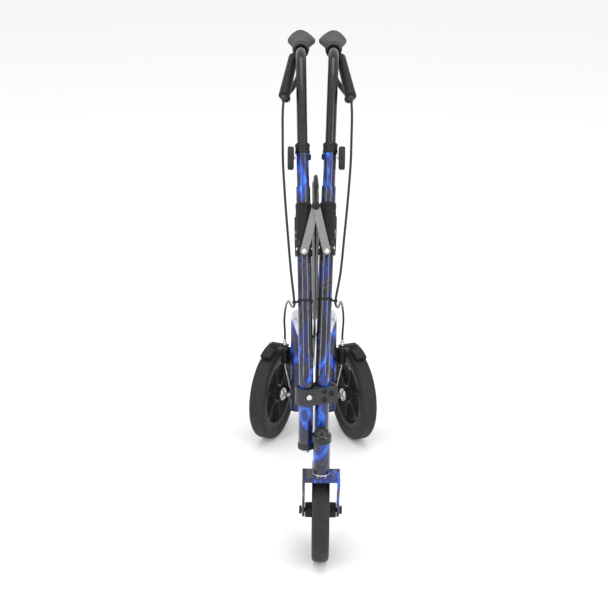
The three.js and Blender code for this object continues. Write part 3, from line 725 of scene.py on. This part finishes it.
def rear_wheel(side):
    centre, axis = wheel_centre(side), outward(side)
    body = f"{side}_wheel"
    wheel(f"{side}_rear", centre, axis, body, f"{side}_rear_tyre", f"{side}_rear_rim", 20, 13)
    cap = [(5.2, -25), (9, -25), (10.6, -24.6), (11.2, -23.6), (12.8, -23.2), (13.2, -22.6), (13.2, -20.6),
           (5.2, -20.6), (5.2, -25)]
    piece(f"{side}_hub_cap_shape", *turned(cap, centre, axis, 64), "silver_metal", body, [f"{side}_hub_cap"],
          bevel=0.25)
    outer = [(5.2, 13.2), (11, 13.2), (11, 14), (9, 16), (0, 16.8), (0, 12.6), (5.2, 12.6), (5.2, 13.2)]
    piece(f"{side}_outer_cap", *turned(outer, centre, axis, 48), "dark_plastic", body, bevel=0.3)
    reach = centre - leg(side, WHEEL_R)
    start = -reach.length + TUBE_R + 0.3
    axle = [(0, start), (7.2, start), (7.2, start + 6), (4, start + 6.2), (4, 12), (0, 12)]
    piece(f"{side}_rear_axle_shape", *turned(axle, centre, axis, 40), "silver_metal", f"{side}_frame",
          [f"{side}_rear_axle"], bevel=0.2)


# ------------------------------------------------------------------ rear brakes and cables
def brake(side):
    body = f"{side}_frame"

    def spot(along, ahead, z):
        return leg(side, z) + outward(side) * along + forward(side) * ahead

    profile = [(0, 165), (5.6, 165), (6.4, 165.8)]
    for k in range(8):
        low = 166.5 + 3.7 * k
        profile += [(6.2, low), (7.4, low + 0.7), (7.4, low + 2.3), (6.2, low + 3.0)]
    profile += [(5.8, 197.4), (0, 197.8)]
    shape = turned([(r, z) for r, z in profile], spot(SPRING_FROM_LEG, 0, 0), UP, 56)
    piece(f"{side}_spring_housing_shape", *shape, "dark_plastic", body, [f"{side}_spring_housing"],
          bevel=0.25)
    moulded(f"{side}_brake_bracket", "grey_casting", body, 0.8, 4)
    moulded(f"{side}_brake_shoe", "dark_plastic", f"{side}_shoe", 0.8, 5)
    nut = [(0, 206.4), (4.6, 206.4), (4.6, 210.6), (3.3, 211.4)]
    for k in range(5):
        nut += [(3.3, 212 + 1.3 * k), (2.9, 212.6 + 1.3 * k)]
    nut += [(3.2, 219.2), (0, 219.3)]
    piece(f"{side}_brake_adjuster_shape", *turned(nut, spot(SPRING_FROM_LEG, 0, 0), UP, 40), "silver_metal",
          body,
          [f"{side}_brake_adjuster"], bevel=0.15)
    rod = rounded([spot(SPRING_FROM_LEG, 0, 166), spot(SPRING_FROM_LEG - 1, 0, 160), spot(15.5, 0, 115),
                   spot(13.3, 0, 112)], 4)
    piece(f"{side}_brake_rod", *pipe(rod, 1.4, 20), "silver_metal", body)
    pin = turned([(0, -12), (1.8, -12), (1.8, 12), (0, 12)], spot(52, 0, 204), outward(side), 24)
    piece(f"{side}_shoe_pin", *pin, "silver_metal", f"{side}_shoe", bevel=0.3)
    cable(side, spot(SPRING_FROM_LEG, 0, 206 + 0.35 + 13 + 0.35))


def cable(side, end):
    m, _ = SIDES[side]
    clip = on_slant(side, 495) + Vector((m * 19, -6, 0))
    points = [pt(m * 60.6, 205.5, 811.6), pt(m * 62, 190, 790), pt(m * 61.5, 172, 750),
              pt(m * 60.5, 150, 712),
              pt(m * 56, 118, 655), pt(m * 50, 84, 595), pt(m * 44, 53, 540), clip, pt(m * 41, 80, 462),
              pt(m * 46, 200, 420), pt(m * 50.5, 350, 365), pt(m * 56, 450, 315), pt(m * 59.5, 497, 268),
              end + Vector((0, 0, 12)), end]
    piece(f"{side}_brake_cable_shape", *pipe(catmull(points, 10), 2.2, 20), "cable_cover", f"{side}_frame",
          [f"{side}_brake_cable"])
    tube_point = on_slant(side, 495)
    direction = slant(side)
    band = turned([(12.9, -2.2), (14.0, -2.2), (14.2, -1.6), (14.2, 1.6), (14.0, 2.2), (12.9, 2.2),
                   (12.9, -2.2)],
                  tube_point, direction, 64)
    loop = turned([(2.4, -2.2), (3.6, -2.2), (3.6, 2.2), (2.4, 2.2), (2.4, -2.2)], clip, direction, 32)
    middle = tube_point.lerp(clip, 0.78)
    bridge = turned([(0, -1.6), (2.2, -1.6), (2.2, 1.6), (0, 1.6)], middle, direction, 24)
    piece(f"{side}_cable_clip", *joined(band, loop, bridge), "dark_plastic", f"{side}_frame", bevel=0.2)


# ------------------------------------------------------------------ fork, head and hinge
def head():
    at = pt(*STEM, 0)
    body = "left_frame"
    tube = [(9.3, 199), (14.2, 199), (15, 199.8), (15, 271.8), (9.3, 271.8), (9.3, 199)]
    piece("head_tube_shape", *turned(tube, at, UP, 72), "flame_paint", body, ["head_tube"])
    race = [(8.6, 198.2), (15.6, 198.2), (15.9, 199.2), (15.4, 201.4), (15.1, 201.6), (8.6, 201.6),
            (8.6, 198.2)]
    piece("lower_bearing_race", *turned(race, at, UP, 72), "silver_metal", body, bevel=0.2)
    moulded("head_cap", "cap_plastic", body, 0.7, 7)
    piece("fork_stem_shape", *turned([(0, 198), (8.4, 198), (8.4, 270), (0, 270)], at, UP, 40),
          "silver_metal",
          "caster", ["fork_stem"])
    moulded("fork", "flame_paint", "caster", 1.1, 5)
    moulded("hinge_plate", "grey_casting", body, 1.0, 7)
    moulded("lower_hinge_bracket", "grey_casting", body, 0.9, 4)
    bolt = [(0, 234), (6, 234), (8.6, 235.4), (9, 237), (9, 240.6), (5, 240.6), (5, 266), (0, 266)]
    right = pt(*SIDES["right"][1], 0)
    piece("hinge_bolt_shape", *turned(bolt, right, UP, 40), "silver_metal", body, ["hinge_bolt"], bevel=0.3)
    plate_screws(body)


def plate_screws(body):
    left, right = (pt(*SIDES[s][1], 347) for s in ("left", "right"))
    along = (left - right).normalized()
    ahead = Vector((along.y, -along.x, 0))
    dome = [(0, 3.2), (2.4, 2.8), (4.4, 1.6), (5.4, 0), (5.4, -1), (0, -1)]
    piece("hinge_dome_screw", *turned(dome, right + ahead * 20.0 - along * 1, ahead, 40), "silver_metal",
          body)
    socket = [(0, 0.7), (1.9, 0.7), (2.1, 2.2), (3.6, 2.2), (4.3, 1.4), (4.5, 0), (4.5, -1), (0, -1)]
    for index, (u, z) in enumerate(((27, 355), (27, 339), (41, 349))):
        spot = right + along * u + ahead * 19.6
        spot.z = z
        piece(f"hinge_screw_{index + 1}", *turned(socket, spot, ahead, 36), "dark_plastic", body, bevel=0.2)


# ------------------------------------------------------------------ folding brace
def brace():
    up = Vector((0, HANDLE_CORNER[1] + 37.5, HANDLE_CORNER[2] - CORNER_Z)).normalized()
    front = Vector((0, -up.z, up.y))
    sideways, foot_y, foot_z = BRACE_FOOT
    pivot = pt(MIDDLE_X, foot_y, foot_z) + up * BRACE_REACH + front * BRACE_OFFSET
    for side, (m, _) in SIDES.items():
        foot = pt(MIDDLE_X + m * sideways, foot_y, foot_z) + front * BRACE_OFFSET
        level = 0.8 if m > 0 else -3.2
        flat_link(side, foot, pivot, front, level)
        moulded(f"{side}_brace_clamp", "dark_plastic", f"{side}_clamp", 0.8, 4)
        rivet = [(0, 2.9), (1.6, 2.8), (3.6, 2.0), (4.6, 0.6), (4.6, 0), (0, 0)]
        top = foot + front * (level + 2.4 + 0.1)
        piece(f"{side}_brace_rivet", *turned(rivet, top, front, 36), "silver_metal", f"{side}_clamp")
    bolt = [(0, 9.2), (2.6, 9.2), (2.8, 7.4), (4.6, 7.2), (6.2, 6.2), (7.2, 4.4), (7.4, 3.5), (3, 3.5),
            (3, -4.8),
            (7, -4.8), (6.6, -7), (0, -7)]
    piece("brace_pivot_shape", *turned(bolt, pivot, front, 48), "dark_plastic", "left_link", ["brace_pivot"],
          bevel=0.25)


def flat_link(side, foot, pivot, front, level):
    along = (pivot - foot).normalized()
    across = along.cross(front)
    length = (pivot - foot).length
    outline = []
    for k in range(25):
        a = math.pi + math.pi * k / 24
        outline.append((7 * math.cos(a), 7 * math.sin(a)))
    for k in range(25):
        a = math.pi * k / 24
        outline.append((7 * math.cos(a), length + 7 * math.sin(a)))
    verts = []
    for depth in (level, level + 2.4):
        verts += [foot + across * x + along * y + front * depth for x, y in outline]
    n = len(outline)
    faces = [list(range(n)), [n + k for k in range(n)][::-1]]
    faces += [[k, (k + 1) % n, n + (k + 1) % n, n + k] for k in range(n)]
    piece(f"{side}_brace_link_shape", verts, faces, "brushed_link", f"{side}_link", [f"{side}_brace_link"],
          sharp=40, bevel=0.5)


# ------------------------------------------------------------------ pouch
def pouch():
    """A vinyl bag folded flat between the side frames, its edges drawn to the two sleeves."""
    rows, columns = 70, 56

    def profile(v):
        z = 366 + (684 - 366) * v
        tube_y = on_slant("left", max(z, 400)).y if z > 400 else on_slant("left", 400).y
        front_y = tube_y + (3 if z > 450 else 3 + (450 - z) * 0.55)
        rear_y = 150 + 100 * min(1, max(0, (z - 372) / 260)) ** 0.8 - 26 * max(0, (z - 640) / 44) ** 2
        return z, front_y, rear_y

    def half(u, v, y, z, m):
        left_x, right_x = on_slant("left", max(z, 400)).x, on_slant("right", max(z, 400)).x
        room = (left_x - right_x) / 2 - TUBE_R - 1.6
        tube_y = on_slant("left", max(z, 400)).y
        depth = min(1, max(0, (y - tube_y - 10) / 22))
        arch = 6.4 if z > 455 else 2.4
        most = max(0.9, room) * (1 - depth) + arch * depth
        edge = min(1, 6.5 * min(u, 1 - u) + 0.2, 7 * min(v, 1 - v) + 0.2)
        fold = noise.noise(Vector((u * 3.2 + m * 7, v * 5.1, 0.3))) * 0.3
        crease = 0.16 * math.sin(13 * u + 4.2 * math.sin(2.6 * v) + m)
        crumple = 0.5 * noise.noise(Vector((u * 9 + m * 3, v * 14, 4.7)))
        hem = 0.9 * (math.exp(-((u - 0.95) / 0.02) ** 2) + math.exp(-((v - 0.95) / 0.012) ** 2))
        seam = -0.7 * math.exp(-((u - 0.9) / 0.012) ** 2)
        return max(0.5, most * edge * (0.8 + fold + crease) + crumple + hem + seam)

    def wander(u, v, z):
        left_x, right_x = on_slant("left", max(z, 400)).x, on_slant("right", max(z, 400)).x
        return (left_x + right_x) / 2 + 1.2 * noise.noise(Vector((u * 2.5, v * 4, 2.0)))

    verts, faces = [], []
    for m in (1, -1):
        for i in range(rows + 1):
            v = i / rows
            z, front_y, rear_y = profile(v)
            for j in range(columns + 1):
                u = j / columns
                y = front_y + (rear_y - front_y) * u
                rise = max(0, (v - 0.86) / 0.14)
                lift = rise * (5 * math.sin(7.5 * u + 0.6) - 24 * u)
                verts.append(pt(wander(u, v, z) + m * half(u, v, y, z, m), y, z + lift))
    side_count = (rows + 1) * (columns + 1)

    def at(m, i, j):
        return (0 if m > 0 else side_count) + i * (columns + 1) + j

    for i in range(rows):
        for j in range(columns):
            faces.append([at(1, i, j), at(1, i, j + 1), at(1, i + 1, j + 1), at(1, i + 1, j)])
            faces.append([at(-1, i, j), at(-1, i + 1, j), at(-1, i + 1, j + 1), at(-1, i, j + 1)])
    for i in range(rows):
        for j in (0, columns):
            faces.append([at(1, i, j), at(1, i + 1, j), at(-1, i + 1, j), at(-1, i, j)])
    for j in range(columns):
        for i in (0, rows):
            faces.append([at(1, i, j), at(-1, i, j), at(-1, i, j + 1), at(1, i, j + 1)])
    bag = piece("pouch_shape", verts, faces, "pouch_vinyl", None, ["pouch"], sharp=180)
    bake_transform(bag)


# ------------------------------------------------------------------ studio
def studio():
    floor_mesh = bpy.data.meshes.new("floor")
    size = 30
    floor_mesh.from_pydata([(-size, -size, 0), (size, -size, 0), (size, size, 0), (-size, size, 0)], [],
                           [[0, 1, 2, 3]])
    floor = bpy.data.objects.new("floor", floor_mesh)
    bpy.context.collection.objects.link(floor)
    paper = bpy.data.materials.new("paper")
    paper.use_nodes = True
    paper.node_tree.nodes["Principled BSDF"].inputs["Base Color"].default_value = (0.9, 0.9, 0.9, 1)
    paper.node_tree.nodes["Principled BSDF"].inputs["Roughness"].default_value = 0.8
    floor_mesh.materials.append(paper)

    world = bpy.data.worlds.new("studio")
    world.use_nodes = True
    world.node_tree.nodes["Background"].inputs["Color"].default_value = (1, 1, 1, 1)
    world.node_tree.nodes["Background"].inputs["Strength"].default_value = 0.95
    bpy.context.scene.world = world
    bpy.context.scene.view_settings.view_transform = "Standard"
    softbox("left_strip", (-1.7, -1.9, 1.3), 0.35, 2.2, 22)
    softbox("right_strip", (1.9, -1.7, 1.3), 0.35, 2.2, 22)
    softbox("top_box", (0, -0.6, 2.9), 2.2, 2.2, 38)


def softbox(name, at, width, height, watts):
    light = bpy.data.lights.new(name, "AREA")
    light.shape = "RECTANGLE"
    light.size = width
    light.size_y = height
    light.energy = watts
    obj = bpy.data.objects.new(name, light)
    obj.location = at
    aim = Vector((0, 0, 0.45)) - Vector(at)
    obj.rotation_euler = aim.to_track_quat("-Z", "Y").to_euler()
    bpy.context.collection.objects.link(obj)


def camera():
    data = bpy.data.cameras.new("camera")
    data.lens = LENS_MM
    data.sensor_width = SENSOR_MM
    obj = bpy.data.objects.new("camera", data)
    obj.location = placed(CAMERA_AT)
    aim = Matrix.Rotation(math.pi / 2 - CAMERA_DOWN, 4, "X") @ Matrix.Rotation(CAMERA_ROLL, 4, "Z")
    obj.rotation_euler = aim.to_euler()
    bpy.context.collection.objects.link(obj)
    bpy.context.scene.camera = obj


camera()
for side_name in SIDES:
    side_tubes(side_name)
    fabric_sleeve(side_name)
    handle(side_name)
    rear_wheel(side_name)
    brake(side_name)
front_wheel()
head()
brace()
pouch()
studio()
